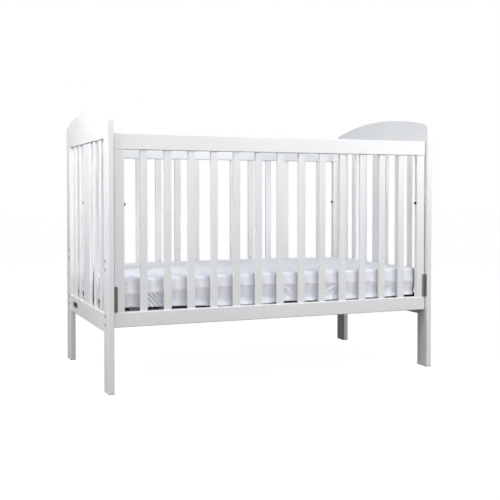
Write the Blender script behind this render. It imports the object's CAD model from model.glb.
"""Looks of a white baby crib: painted wood, steel guides and a mattress in a fitted cotton sheet."""
import math

import bmesh
import bpy
import numpy as np
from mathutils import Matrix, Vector, noise


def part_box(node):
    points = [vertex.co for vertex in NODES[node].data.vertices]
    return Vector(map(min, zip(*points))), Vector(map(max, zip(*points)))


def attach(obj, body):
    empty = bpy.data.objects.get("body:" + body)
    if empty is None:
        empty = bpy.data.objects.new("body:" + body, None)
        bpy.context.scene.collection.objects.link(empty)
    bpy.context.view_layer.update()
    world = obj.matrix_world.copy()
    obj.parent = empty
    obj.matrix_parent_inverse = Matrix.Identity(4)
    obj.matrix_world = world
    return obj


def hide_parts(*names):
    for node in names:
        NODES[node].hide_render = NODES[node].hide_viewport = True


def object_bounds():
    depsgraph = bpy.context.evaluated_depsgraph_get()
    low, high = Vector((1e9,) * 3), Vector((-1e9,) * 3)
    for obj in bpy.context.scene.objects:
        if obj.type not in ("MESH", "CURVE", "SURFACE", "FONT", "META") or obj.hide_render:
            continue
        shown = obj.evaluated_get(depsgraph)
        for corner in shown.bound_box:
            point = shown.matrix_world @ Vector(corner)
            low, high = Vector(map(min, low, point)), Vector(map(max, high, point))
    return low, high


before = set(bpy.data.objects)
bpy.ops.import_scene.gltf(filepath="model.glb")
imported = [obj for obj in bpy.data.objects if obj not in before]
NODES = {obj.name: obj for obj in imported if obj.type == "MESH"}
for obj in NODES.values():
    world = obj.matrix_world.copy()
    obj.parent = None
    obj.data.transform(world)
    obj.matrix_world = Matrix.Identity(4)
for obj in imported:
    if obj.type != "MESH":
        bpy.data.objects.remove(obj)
CAD_LOW, CAD_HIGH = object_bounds()

# ---- Camera ----

CAMERA_PLACE = (-1.3733, -3.3864, 0.7079)
CAMERA_YAW = math.radians(22.513)
CAMERA_PITCH = math.radians(-1.344)
CAMERA_LENS = 62.19
CAMERA_SENSOR = 36.0
CAMERA_SHIFT = (-0.0019, -0.0693)


def aim(thing, place, direction):
    thing.location = place
    thing.rotation_mode = "QUATERNION"
    thing.rotation_quaternion = Vector(direction).to_track_quat("-Z", "Y")
    bpy.context.scene.collection.objects.link(thing)


def make_camera():
    data = bpy.data.cameras.new("camera")
    data.lens = CAMERA_LENS
    data.sensor_width = CAMERA_SENSOR
    data.shift_x, data.shift_y = CAMERA_SHIFT
    camera = bpy.data.objects.new("camera", data)
    level = math.cos(CAMERA_PITCH)
    forward = (math.sin(CAMERA_YAW) * level, math.cos(CAMERA_YAW) * level, math.sin(CAMERA_PITCH))
    aim(camera, CAMERA_PLACE, forward)
    bpy.context.scene.camera = camera


# ---- Studio: soft boxes round the crib, on a pale floor ----

# name: (place, target, (width, height), power in watts)
SOFT_BOXES = {
    "left_near": ((-1.9, -0.4, 1.6), (-0.67, 0, 0.9), (1.2, 1.0), 33),
    "front_left": ((-2.6, -2.8, 1.3), (0.2, 0, 0.4), (0.9, 0.9), 20),
    "front_high": ((0.5, -1.9, 2.1), (0.25, -0.3, 0.7), (1.6, 0.8), 31),
    "front_right": ((2.4, -2.8, 1.3), (0.4, 0, 0.5), (0.4, 0.5), 28),
    "right_side": ((3.4, 0.6, 1.8), (0.6, 0, 0.6), (1.8, 1.6), 16),
    "rear": ((0.5, 4.0, 2.4), (0, 0, 0.6), (3.0, 2.0), 24),
}
ROOM_LIGHT = 0.31
ROOM_LEAST = 0.11
FLOOR_COLOUR = (0.15, 0.128, 0.112)
FLOOR_WHITE = 0.97
FLOOR_SHADOW = 0.4
FLOOR_ROUGHNESS = 0.7
FLOOR_HALF = 30.0


def add_soft_box(name, place, target, size, power):
    data = bpy.data.lights.new(name, "AREA")
    data.shape = "RECTANGLE"
    data.size, data.size_y = size
    data.energy = power
    lamp = bpy.data.objects.new(name, data)
    lamp.visible_camera = False
    aim(lamp, place, Vector(target) - Vector(place))


def make_studio():
    """A room that is brightest overhead, and a white backdrop that only the camera sees."""
    scene = bpy.context.scene
    scene.view_settings.view_transform = "Standard"
    world = bpy.data.worlds.new("studio")
    world.use_nodes = True
    tree = world.node_tree
    direction = add(tree, "ShaderNodeTexCoord")
    height = add(tree, "ShaderNodeSeparateXYZ", {"Vector": direction.outputs["Generated"]})
    brightness = add(tree, "ShaderNodeMapRange", {
        "Value": height.outputs["Z"], "From Min": 0.0, "From Max": 1.0,
        "To Min": ROOM_LEAST, "To Max": ROOM_LEAST + ROOM_LIGHT})
    room = tree.nodes["Background"]
    room.inputs["Color"].default_value = (1, 1, 1, 1)
    tree.links.new(brightness.outputs["Result"], room.inputs["Strength"])
    backdrop = add(tree, "ShaderNodeBackground", {"Color": (1, 1, 1, 1), "Strength": 1.0})
    rays = add(tree, "ShaderNodeLightPath")
    mix = add(tree, "ShaderNodeMixShader", {
        0: rays.outputs["Is Camera Ray"], 1: room.outputs[0], 2: backdrop.outputs[0]})
    tree.links.new(mix.outputs[0], tree.nodes["World Output"].inputs["Surface"])
    scene.world = world
    for name, (place, target, size, power) in SOFT_BOXES.items():
        add_soft_box(name, place, target, size, power)


def make_floor():
    """A floor that looks nearly white to the camera and keeps a faint shadow under the feet."""
    mesh = bpy.data.meshes.new("floor")
    corners = [(x * FLOOR_HALF, y * FLOOR_HALF, 0) for x, y in ((-1, -1), (1, -1), (1, 1), (-1, 1))]
    mesh.from_pydata(corners, [], [(0, 1, 2, 3)])
    material, tree, shader = new_material("floor_pale", FLOOR_COLOUR, FLOOR_ROUGHNESS)
    mesh.materials.append(material)
    white = add(tree, "ShaderNodeEmission", {"Color": (1, 1, 1, 1), "Strength": FLOOR_WHITE})
    black = add(tree, "ShaderNodeEmission", {"Color": (0, 0, 0, 1), "Strength": 0.0})
    faint = add(tree, "ShaderNodeMixShader", {0: FLOOR_SHADOW, 1: black.outputs[0], 2: shader.outputs[0]})
    seen = add(tree, "ShaderNodeAddShader", {0: white.outputs[0], 1: faint.outputs[0]})
    rays = add(tree, "ShaderNodeLightPath")
    mix = add(tree, "ShaderNodeMixShader", {
        0: rays.outputs["Is Camera Ray"], 1: shader.outputs[0], 2: seen.outputs[0]})
    tree.links.new(mix.outputs[0], tree.nodes["Material Output"].inputs["Surface"])
    floor = bpy.data.objects.new("floor", mesh)
    bpy.context.scene.collection.objects.link(floor)


# ---- Material building blocks ----

# a noise's values mostly lie between these two
NOISE_LOW, NOISE_HIGH = 0.3, 0.7


def add(tree, kind, inputs=None, **settings):
    """Adds a node; an input's value is a number, a colour or another node's output."""
    node = tree.nodes.new(kind)
    for name, value in settings.items():
        setattr(node, name, value)
    for name, value in (inputs or {}).items():
        socket = node.inputs[name]
        if isinstance(value, bpy.types.NodeSocket):
            tree.links.new(value, socket)
        else:
            socket.default_value = value
    return node


def new_material(name, colour, roughness, metallic=0.0):
    material = bpy.data.materials.new(name)
    material.use_nodes = True
    tree = material.node_tree
    shader = tree.nodes["Principled BSDF"]
    shader.inputs["Base Color"].default_value = (*colour, 1)
    shader.inputs["Roughness"].default_value = roughness
    shader.inputs["Metallic"].default_value = metallic
    return material, tree, shader


def place_in_object(tree, scale):
    """Object coordinates in metres, scaled along X, Y and Z."""
    coordinates = add(tree, "ShaderNodeTexCoord")
    mapping = add(tree, "ShaderNodeMapping", {"Vector": coordinates.outputs["Object"], "Scale": scale})
    return mapping.outputs["Vector"]


def noise_value(tree, scale, detail=3.0, roughness=0.5, distortion=0.0):
    texture = add(tree, "ShaderNodeTexNoise", {
        "Vector": place_in_object(tree, scale), "Scale": 1.0, "Detail": detail,
        "Roughness": roughness, "Distortion": distortion})
    return texture.outputs["Fac"]


def math_value(tree, operation, first, second=0.0):
    return add(tree, "ShaderNodeMath", {0: first, 1: second}, operation=operation).outputs[0]


def between(tree, value, low, high):
    """Maps a noise's usual span to the span from low to high."""
    spread = add(tree, "ShaderNodeMapRange", {
        "Value": value, "From Min": NOISE_LOW, "From Max": NOISE_HIGH, "To Min": low, "To Max": high})
    return spread.outputs["Result"]


def colour_between(tree, value, first, second):
    ramp = add(tree, "ShaderNodeValToRGB", {"Fac": value})
    ramp.color_ramp.elements[0].position = NOISE_LOW
    ramp.color_ramp.elements[1].position = NOISE_HIGH
    ramp.color_ramp.elements[0].color = (*first, 1)
    ramp.color_ramp.elements[1].color = (*second, 1)
    return ramp.outputs["Color"]


def bump(tree, height, depth, strength, after=None):
    inputs = {"Height": height, "Distance": depth, "Strength": strength}
    if after is not None:
        inputs["Normal"] = after
    return add(tree, "ShaderNodeBump", inputs).outputs["Normal"]


def grain_scale(axis, along, across):
    return tuple(along if i == axis else across for i in range(3))


X, Y, Z = 0, 1, 2

# ---- Wood ----

PAINT_LIGHT = (0.815, 0.833, 0.85)
PAINT_SHADE = (0.785, 0.803, 0.82)
PINE_LIGHT = (0.74, 0.56, 0.36)
PINE_DARK = (0.56, 0.37, 0.20)
STAIN_LIGHT = (0.040, 0.032, 0.027)
STAIN_DARK = (0.016, 0.013, 0.012)


def painted_wood(axis):
    """Satin white paint, with the grain of a bar that runs along axis showing through."""
    material, tree, shader = new_material("paint_" + "xyz"[axis], PAINT_LIGHT, roughness=0.4)
    grain = noise_value(tree, grain_scale(axis, along=5, across=210), detail=5.0, roughness=0.62)
    patches = noise_value(tree, grain_scale(axis, along=2.2, across=9), detail=2.0)
    stipple = noise_value(tree, (900, 900, 900), detail=2.0)
    colour = colour_between(tree, patches, PAINT_SHADE, PAINT_LIGHT)
    tree.links.new(colour, shader.inputs["Base Color"])
    tree.links.new(between(tree, patches, low=0.34, high=0.46), shader.inputs["Roughness"])
    normal = bump(tree, grain, depth=0.0006, strength=0.5)
    normal = bump(tree, stipple, depth=0.00012, strength=0.6, after=normal)
    tree.links.new(normal, shader.inputs["Normal"])
    shader.inputs["Coat Weight"].default_value = 0.12
    shader.inputs["Coat Roughness"].default_value = 0.3
    return material


POSTS = ("left_front_post", "left_rear_post", "right_front_post", "right_rear_post")
BOLT_HEAD_RADIUS = 0.006
BASE_HEIGHT_STEP = 0.197
HOLE_DARK = (0.010, 0.010, 0.011)
# radius round a hole's axis that takes in its walls, and how far below the post's face they start
HOLE_REACH = 0.0066
HOLE_MOUTH = 0.0003


def in_bolt_hole(tree):
    """1 on the walls of the base's bolt holes, 0 on the faces of the post."""
    low, high = (Vector(corner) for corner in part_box("base_bolts"))
    lower_pair = [low.z + BOLT_HEAD_RADIUS, high.z - BOLT_HEAD_RADIUS]
    place = add(tree, "ShaderNodeSeparateXYZ", {"Vector": place_in_object(tree, (1, 1, 1))})
    outward = math_value(tree, "ABSOLUTE", place.outputs["X"])
    across = math_value(tree, "ABSOLUTE", place.outputs["Y"])
    across = math_value(tree, "SUBTRACT", across, high.y - BOLT_HEAD_RADIUS)
    across = math_value(tree, "MULTIPLY", across, across)
    nearest = 1.0
    for height in lower_pair + [z + BASE_HEIGHT_STEP for z in lower_pair]:
        up = math_value(tree, "SUBTRACT", place.outputs["Z"], height)
        up = math_value(tree, "MULTIPLY", up, up)
        nearest = math_value(tree, "MINIMUM", math_value(tree, "ADD", across, up), nearest)
    near = math_value(tree, "LESS_THAN", nearest, HOLE_REACH ** 2)
    inside = math_value(tree, "LESS_THAN", outward, CAD_HIGH.x - HOLE_MOUTH)
    return math_value(tree, "MULTIPLY", near, inside)


def drilled_paint():
    """The paint of a post, with dark walls in the bolt holes."""
    material = painted_wood(Z)
    material.name = "paint_drilled"
    tree = material.node_tree
    shader = tree.nodes["Principled BSDF"]
    paint = shader.inputs["Base Color"].links[0].from_socket
    # Colours are the node's inputs 6 and 7 and its output 2
    walls = (*HOLE_DARK, 1)
    colour = add(tree, "ShaderNodeMix", {0: in_bolt_hole(tree), 6: paint, 7: walls}, data_type="RGBA")
    tree.links.new(colour.outputs[2], shader.inputs["Base Color"])
    return material


def planed_wood(name, axis, light, dark):
    """Planed wood: rings along the grain, darker streaks and a dry surface."""
    material, tree, shader = new_material(name, light, roughness=0.6)
    rings = noise_value(tree, grain_scale(axis, along=1.6, across=95), detail=2.0, distortion=0.6)
    fibres = noise_value(tree, grain_scale(axis, along=14, across=900), detail=4.0, roughness=0.65)
    colour = colour_between(tree, rings, light, dark)
    tree.links.new(colour, shader.inputs["Base Color"])
    tree.links.new(between(tree, fibres, low=0.5, high=0.72), shader.inputs["Roughness"])
    tree.links.new(bump(tree, fibres, depth=0.0004, strength=0.6), shader.inputs["Normal"])
    return material


# ---- Metal and plastic ----

def worn_surface(name, first, second, roughness, metallic, scratch_scale, depth):
    """Colour and gloss that vary in patches, with fine scratches in the surface."""
    material, tree, shader = new_material(name, first, roughness, metallic)
    patches = noise_value(tree, (60, 60, 60), detail=4.0)
    scratches = noise_value(tree, scratch_scale, detail=3.0, roughness=0.6)
    tree.links.new(colour_between(tree, patches, first, second), shader.inputs["Base Color"])
    gloss = between(tree, scratches, low=roughness * 0.8, high=roughness * 1.25)
    tree.links.new(gloss, shader.inputs["Roughness"])
    tree.links.new(bump(tree, scratches, depth, strength=0.5), shader.inputs["Normal"])
    return material


def bolt_black():
    return worn_surface(
        "bolt_black", (0.018, 0.018, 0.020), (0.030, 0.029, 0.027),
        roughness=0.55, metallic=0.0, scratch_scale=(800, 800, 800), depth=0.0001)


def zinc():
    return worn_surface(
        "zinc", (0.60, 0.60, 0.61), (0.50, 0.51, 0.53),
        roughness=0.34, metallic=1.0, scratch_scale=(500, 500, 500), depth=0.0001)


def brass():
    return worn_surface(
        "brass", (0.72, 0.55, 0.28), (0.60, 0.44, 0.21),
        roughness=0.32, metallic=1.0, scratch_scale=(300, 1500, 1500), depth=0.00008)


def nylon():
    material = worn_surface(
        "nylon", (0.84, 0.83, 0.78), (0.78, 0.77, 0.72),
        roughness=0.5, metallic=0.0, scratch_scale=(700, 700, 700), depth=0.00008)
    shader = material.node_tree.nodes["Principled BSDF"]
    shader.inputs["Subsurface Weight"].default_value = 0.15
    shader.inputs["Subsurface Scale"].default_value = 0.003
    return material


def guide_grey():
    return worn_surface(
        "guide_grey", (0.25, 0.26, 0.24), (0.33, 0.335, 0.31),
        roughness=0.38, metallic=0.5, scratch_scale=(900, 900, 40), depth=0.0001)


def badge_dark():
    return worn_surface(
        "badge_dark", (0.045, 0.045, 0.05), (0.07, 0.07, 0.075),
        roughness=0.3, metallic=0.0, scratch_scale=(900, 30, 900), depth=0.00006)


# ---- Cloth ----

SHEET_LIGHT = (0.825, 0.84, 0.91)
SHEET_SHADE = (0.785, 0.80, 0.88)
TICKING_LIGHT = (0.80, 0.78, 0.73)
TICKING_SHADE = (0.62, 0.63, 0.64)
SHEET_THREAD = 0.0009
TICKING_THREAD = 0.0016
# a wave texture of scale 1 has this many radians to the metre
WAVE_RADIANS = 20


def threads(tree, pitch):
    """Raised threads along all three axes; two of them cross on any flat side."""
    height = None
    for axis in "XYZ":
        wave = add(tree, "ShaderNodeTexWave", {
            "Vector": place_in_object(tree, (1, 1, 1)), "Scale": math.tau / pitch / WAVE_RADIANS,
            "Distortion": 0.4, "Detail": 1.0, "Detail Scale": 2.0}, bands_direction=axis)
        if height is None:
            height = wave.outputs["Fac"]
        else:
            height = math_value(tree, "ADD", height, wave.outputs["Fac"])
    return height


def cloth(name, light, shade, thread_pitch):
    material, tree, shader = new_material(name, light, roughness=0.85)
    weave = threads(tree, thread_pitch)
    slubs = noise_value(tree, (45, 45, 45), detail=5.0, roughness=0.6)
    crumple = noise_value(tree, (26, 26, 26), detail=3.0, distortion=0.5)
    tree.links.new(colour_between(tree, slubs, shade, light), shader.inputs["Base Color"])
    tree.links.new(between(tree, slubs, low=0.78, high=0.92), shader.inputs["Roughness"])
    normal = bump(tree, crumple, depth=0.0012, strength=0.3)
    normal = bump(tree, weave, depth=0.00012, strength=0.5, after=normal)
    tree.links.new(normal, shader.inputs["Normal"])
    shader.inputs["Sheen Weight"].default_value = 0.25
    shader.inputs["Sheen Roughness"].default_value = 0.5
    shader.inputs["Specular IOR Level"].default_value = 0.25
    return material


# ---- Mattress: a foam core, and a fitted sheet round it ----

MATTRESS_LOW, MATTRESS_HIGH = (Vector(corner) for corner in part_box("mattress"))
MATTRESS_HALF = (MATTRESS_HIGH - MATTRESS_LOW) / 2
MATTRESS_MIDDLE = (MATTRESS_HIGH + MATTRESS_LOW) / 2
CORE_INSET = Vector((0.004, 0.004, 0.0022))
CORE_CORNER = 0.032
CORE_TOP_EDGE = 0.014
CORE_BOTTOM_EDGE = 0.010
VOXEL = 0.0075
SWELL_PRESSURE = 4.0
SWELL_MOST = 0.005
SWELL_STEPS = 20
SHEET_GAP = 0.0012
SHEET_THICKNESS = 0.0010
SHEET_CLEARANCE = 0.0002


def apply_modifiers(thing):
    graph = bpy.context.evaluated_depsgraph_get()
    mesh = bpy.data.meshes.new_from_object(thing.evaluated_get(graph))
    thing.modifiers.clear()
    thing.data = mesh


def mesh_points(mesh):
    flat = np.empty(len(mesh.vertices) * 3)
    mesh.vertices.foreach_get("co", flat)
    return flat.reshape(-1, 3)


def mesh_normals(mesh):
    flat = np.empty(len(mesh.vertices) * 3)
    mesh.vertices.foreach_get("normal", flat)
    return flat.reshape(-1, 3)


def set_points(mesh, points):
    mesh.vertices.foreach_set("co", points.ravel())
    mesh.update()


def smooth_shading(mesh):
    mesh.polygons.foreach_set("use_smooth", [True] * len(mesh.polygons))


def rounded_block(name, half, middle, corner_radius, top_radius, bottom_radius):
    """A block whose upright corners and then its horizontal edges are rounded."""
    mesh = bpy.data.meshes.new(name)
    shape = bmesh.new()
    bmesh.ops.create_cube(shape, size=2.0)
    bmesh.ops.scale(shape, vec=half, verts=shape.verts)
    upright = [e for e in shape.edges if abs(e.verts[0].co.z - e.verts[1].co.z) > half.z]
    bmesh.ops.bevel(shape, geom=upright, offset=corner_radius, segments=8, profile=0.5, affect="EDGES")
    for side, radius in ((1, top_radius), (-1, bottom_radius)):
        rim = [e for e in shape.edges if all(abs(v.co.z - side * half.z) < 1e-6 for v in e.verts)]
        bmesh.ops.bevel(shape, geom=rim, offset=radius, segments=5, profile=0.5, affect="EDGES")
    bmesh.ops.translate(shape, vec=middle, verts=shape.verts)
    shape.to_mesh(mesh)
    shape.free()
    block = bpy.data.objects.new(name, mesh)
    bpy.context.scene.collection.objects.link(block)
    return block


def inflate(thing, pressure, most):
    """Swells a closed mesh by cloth simulation, and moves no point further than most."""
    start = mesh_points(thing.data)
    cloth_modifier = thing.modifiers.new("swell", "CLOTH")
    settings = cloth_modifier.settings
    settings.quality = 5
    settings.mass = 0.3
    settings.tension_stiffness = 15
    settings.compression_stiffness = 15
    settings.bending_stiffness = 0.5
    settings.use_pressure = True
    settings.uniform_pressure_force = pressure
    settings.effector_weights.gravity = 0
    cloth_modifier.collision_settings.use_collision = False
    for step in range(SWELL_STEPS):
        bpy.context.scene.frame_set(step + 1)
    apply_modifiers(thing)
    moved = mesh_points(thing.data) - start
    length = np.linalg.norm(moved, axis=1, keepdims=True)
    moved *= np.minimum(1.0, most / np.maximum(length, 1e-9))
    set_points(thing.data, start + moved)
    bpy.context.scene.frame_set(1)


def smooth_noise(points, scale, seed):
    """Noise at each point; the seed shifts it to another part of the same noise."""
    offset = Vector((17.3 * seed, 5.1 * seed, 9.7 * seed))
    return np.array([noise.noise(Vector(p) * scale + offset) for p in points])


def make_core():
    half = MATTRESS_HALF - CORE_INSET
    core = rounded_block("mattress_core", half, MATTRESS_MIDDLE, CORE_CORNER, CORE_TOP_EDGE, CORE_BOTTOM_EDGE)
    remesh = core.modifiers.new("remesh", "REMESH")
    remesh.mode = "VOXEL"
    remesh.voxel_size = VOXEL
    apply_modifiers(core)
    inflate(core, SWELL_PRESSURE, SWELL_MOST)
    points = mesh_points(core.data)
    floor_z = MATTRESS_LOW.z + SHEET_THICKNESS + SHEET_GAP
    points[:, 2] = np.maximum(points[:, 2], floor_z)
    set_points(core.data, points)
    smooth_shading(core.data)
    return core


# The sides lean in, above and below a crease that runs round the mattress and arches along the long sides
WIDEST = (MATTRESS_HALF.x + 0.0052, MATTRESS_HALF.y + 0.007)
CREASE_LOW = MATTRESS_LOW.z + 0.0507
CREASE_ARCH = 0.013
CREASE_WANDER = 0.004
CREASE_STEP = 0.0018
CREASE_BLEND = 0.003
UPPER_LEAN = 0.14
LOWER_LEAN = 0.20
LOWER_START = 0.002

# The hem is tucked under the mattress, and hangs below it where no slat is in its way
HEM_REACH = 0.075
HEM_LEAST = MATTRESS_LOW.z - 0.0118
SLATS_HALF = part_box("base_slats")[1][1] + 0.0005
SLATS_BLEND = 0.004
# how far it hangs down: place along the front, depth
FRONT_HEM = [
    (-0.65, 0.003), (-0.585, 0.003), (-0.50, 0.005), (-0.40, 0.006), (-0.315, 0.009), (-0.24, 0.014),
    (-0.05, 0.014), (0.045, 0.008), (0.13, 0.012), (0.33, 0.013), (0.50, 0.0115), (0.585, 0.009),
    (0.65, 0.008),
]
OTHER_HEM = 0.004
HEM_WANDER = 0.001
# height above the mattress's underside where the hem starts to hang, and the height over which it takes hold
HANG_START, HANG_BLEND = 0.030, 0.022
# the same for its swing outward, which is a share of its depth
SWING_START, SWING_BLEND = 0.020, 0.016
HEM_SWING = 0.75

# noise scale, seed and height of the rumples on top
TOP_RUMPLES = [(7.0, 2, 0.0022), (19.0, 3, 0.0008)]
TOP_CROWN = 0.0035
TOP_BLEND = 1.2
SIDE_BLEND = 1.3
WANDER_SCALE, WANDER_SEED = 3.0, 1
# a corner starts where both sideways parts of the normal pass this value, and stands out this far
CORNER_START, CORNER_BLEND = 0.05, 0.4
CORNER_OUT = 0.0035


def smooth_step(value):
    value = np.clip(value, 0.0, 1.0)
    return value * value * (3 - 2 * value)


# side: (middle of the fold group along the side, half its width, lean, pitch, depth)
FOLD_GROUPS = {
    "front": [
        (-0.492, 0.060, 0.85, 0.0155, 0.0034), (0.225, 0.045, -0.7, 0.024, 0.0022),
        (0.045, 0.040, 0.7, 0.030, 0.0010), (0.50, 0.05, -0.5, 0.030, 0.0012)],
    "rear": [
        (-0.38, 0.05, 0.8, 0.014, 0.0022), (0.12, 0.06, -0.6, 0.024, 0.0016),
        (0.50, 0.04, 0.9, 0.012, 0.0024)],
    "left": [(-0.24, 0.035, -0.8, 0.012, 0.0022), (0.10, 0.05, 0.6, 0.024, 0.0016)],
    "right": [(-0.22, 0.04, 0.8, 0.013, 0.0024), (0.16, 0.05, -0.6, 0.022, 0.0016)],
}
FOLD_START, FOLD_BLEND = 0.002, 0.012


def fold_depth(along, height, rise, groups):
    """Slanted folds below the crease, in groups that fade out at their edges."""
    depth = np.zeros(len(along))
    below = smooth_step((FOLD_START - rise) / FOLD_BLEND)
    for middle, half_width, lean, pitch, most in groups:
        fade = smooth_step(1 - np.abs(along - middle) / half_width)
        phase = (along * lean + height) / pitch * math.tau
        depth += most * fade * below * np.sin(phase)
    return depth


def sheet_shape(points, normals):
    """Moves the points of a close skin to where the fitted sheet hangs."""
    sideways = np.linalg.norm(normals[:, :2], axis=1)
    outward = normals[:, :2] / np.maximum(sideways, 1e-6)[:, None]
    long_side = np.abs(normals[:, 1]) > np.abs(normals[:, 0])
    sides = {
        "front": long_side & (normals[:, 1] < 0), "rear": long_side & (normals[:, 1] > 0),
        "left": ~long_side & (normals[:, 0] < 0), "right": ~long_side & (normals[:, 0] > 0),
    }
    along = np.where(long_side, points[:, 0], points[:, 1])
    way_round = np.stack([along, normals[:, 0], normals[:, 1]], axis=1)
    wander = smooth_noise(way_round, WANDER_SCALE, WANDER_SEED)
    bow = 1 - (points[:, 0] / MATTRESS_HALF.x) ** 2
    height = points[:, 2] - MATTRESS_LOW.z

    rise = points[:, 2] - (CREASE_LOW + np.where(long_side, CREASE_ARCH * bow, 0.0) + CREASE_WANDER * wander)
    upper = -UPPER_LEAN * np.maximum(rise, 0)
    step = CREASE_STEP * smooth_step(-rise / CREASE_BLEND)
    lower = -step - LOWER_LEAN * np.maximum(-rise - LOWER_START, 0)
    front_hem = np.interp(points[:, 0], *zip(*FRONT_HEM)) * sides["front"]
    lean = np.where(rise > 0, upper, lower)
    lean += HEM_SWING * front_hem * smooth_step((SWING_START - height) / SWING_BLEND)
    for name, chosen in sides.items():
        lean[chosen] += fold_depth(along[chosen], points[chosen, 2], rise[chosen], FOLD_GROUPS[name])

    # The part of the skin near a side is carried out to the widest line, and leans from there
    moved = points + normals * SHEET_GAP
    edge = np.where(long_side, np.abs(moved[:, 1]), np.abs(moved[:, 0]))
    widest = np.where(long_side, WIDEST[1], WIDEST[0])
    both_ways = np.minimum(np.abs(normals[:, 0]), np.abs(normals[:, 1]))
    near_corner = smooth_step((both_ways - CORNER_START) / CORNER_BLEND)
    out = (widest - edge) * (1 - near_corner) + CORNER_OUT * near_corner
    side = smooth_step(sideways * SIDE_BLEND)
    moved[:, :2] += outward * ((out + lean) * side)[:, None]

    sag = np.where(sides["front"], front_hem, OTHER_HEM + HEM_WANDER * wander)
    low = smooth_step((HANG_START - height) / HANG_BLEND)
    free = smooth_step((np.abs(moved[:, 1]) - SLATS_HALF) / SLATS_BLEND) * long_side
    moved[:, 2] -= sag * low * free

    rumple = sum(smooth_noise(points, scale, seed) * most for scale, seed, most in TOP_RUMPLES)
    moved[:, 2] += smooth_step(normals[:, 2] * TOP_BLEND) * (rumple + TOP_CROWN * bow)
    return moved


# faces below this height are the underside; the sides' closer mesh overlaps it, and ends short of the top
UNDER_REACH = 0.006
UNDER_OVERLAP = 0.003
TOP_REACH = 0.012


def split_edges(shape, chosen):
    """Halves the edges whose two ends are both chosen."""
    edges = [e for e in shape.edges if all(chosen(v.co) for v in e.verts)]
    bmesh.ops.subdivide_edges(shape, edges=edges, cuts=1, use_grid_fill=True, smooth=0.0)


def make_sheet(core):
    sheet = bpy.data.objects.new("fitted_sheet", core.data.copy())
    sheet.data.name = "fitted_sheet"
    bpy.context.scene.collection.objects.link(sheet)
    shape = bmesh.new()
    shape.from_mesh(sheet.data)
    under_z = MATTRESS_LOW.z + UNDER_REACH
    side_top = MATTRESS_HIGH.z - TOP_REACH
    open_half = MATTRESS_HALF - Vector((HEM_REACH, HEM_REACH, 0))
    hidden = []
    for face in shape.faces:
        from_middle = face.calc_center_median() - MATTRESS_MIDDLE
        under = face.calc_center_median().z < under_z
        if under and abs(from_middle.x) < open_half.x and abs(from_middle.y) < open_half.y:
            hidden.append(face)
    bmesh.ops.delete(shape, geom=hidden, context="FACES")
    split_edges(shape, lambda place: under_z - UNDER_OVERLAP < place.z < side_top)
    # The front's first fold group is the finest, and takes a closer mesh still
    middle, half_width = FOLD_GROUPS["front"][0][:2]
    split_edges(shape, lambda place: under_z < place.z < side_top
                and place.y < -open_half.y and abs(place.x - middle) < half_width)
    shape.to_mesh(sheet.data)
    shape.free()
    sheet.data.update()
    moved = sheet_shape(mesh_points(sheet.data), mesh_normals(sheet.data))
    for axis, most in enumerate(WIDEST):
        moved[:, axis] = np.clip(moved[:, axis], -most, most)
    over_slats = np.abs(moved[:, 1]) < SLATS_HALF
    lowest = np.where(over_slats, MATTRESS_LOW.z + SHEET_CLEARANCE + SHEET_THICKNESS, HEM_LEAST)
    moved[:, 2] = np.maximum(moved[:, 2], lowest)
    set_points(sheet.data, moved)
    solidify = sheet.modifiers.new("thickness", "SOLIDIFY")
    solidify.thickness = SHEET_THICKNESS
    solidify.offset = -1.0
    apply_modifiers(sheet)
    smooth_shading(sheet.data)
    return sheet


def make_mattress():
    core = make_core()
    sheet = make_sheet(core)
    core.data.materials.append(cloth("ticking", TICKING_LIGHT, TICKING_SHADE, TICKING_THREAD))
    sheet.data.materials.append(cloth("sheet_cotton", SHEET_LIGHT, SHEET_SHADE, SHEET_THREAD))
    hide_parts("mattress")
    for piece in (core, sheet):
        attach(piece, "mattress")


# ---- Finish of the pieces that come from the CAD model ----

CROSSWAYS = ("left_arch_board", "right_arch_board", "left_end_rail", "right_end_rail", "base_inner_rails")


def grain_axis(name):
    """The way a bar runs: rails along the crib, boards across it, slats and posts upright."""
    if name in CROSSWAYS:
        return Y
    if name.endswith("_rail"):
        return X
    return Z


def finish_cad_pieces():
    paint = {axis: painted_wood(axis) for axis in (X, Y, Z)}
    special = {
        "base_slats": planed_wood("stained_slat", Y, STAIN_LIGHT, STAIN_DARK),
        "arch_dowels": planed_wood("beech", Z, PINE_LIGHT, PINE_DARK),
        "base_bolts": bolt_black(),
        "rear_side_bolts": bolt_black(),
        "guide_pins": bolt_black(),
        "base_barrel_nuts": zinc(),
        "guide_screws": zinc(),
        "rear_side_inserts": brass(),
        "guide_bushes": nylon(),
        "side_guides": guide_grey(),
        "badge_plate": badge_dark(),
    }
    special.update(dict.fromkeys(POSTS, drilled_paint()))
    for name, piece in NODES.items():
        material = special.get(name) or paint[grain_axis(name)]
        piece.data.materials.clear()
        piece.data.materials.append(material)


make_camera()
make_studio()
make_floor()
finish_cad_pieces()
make_mattress()
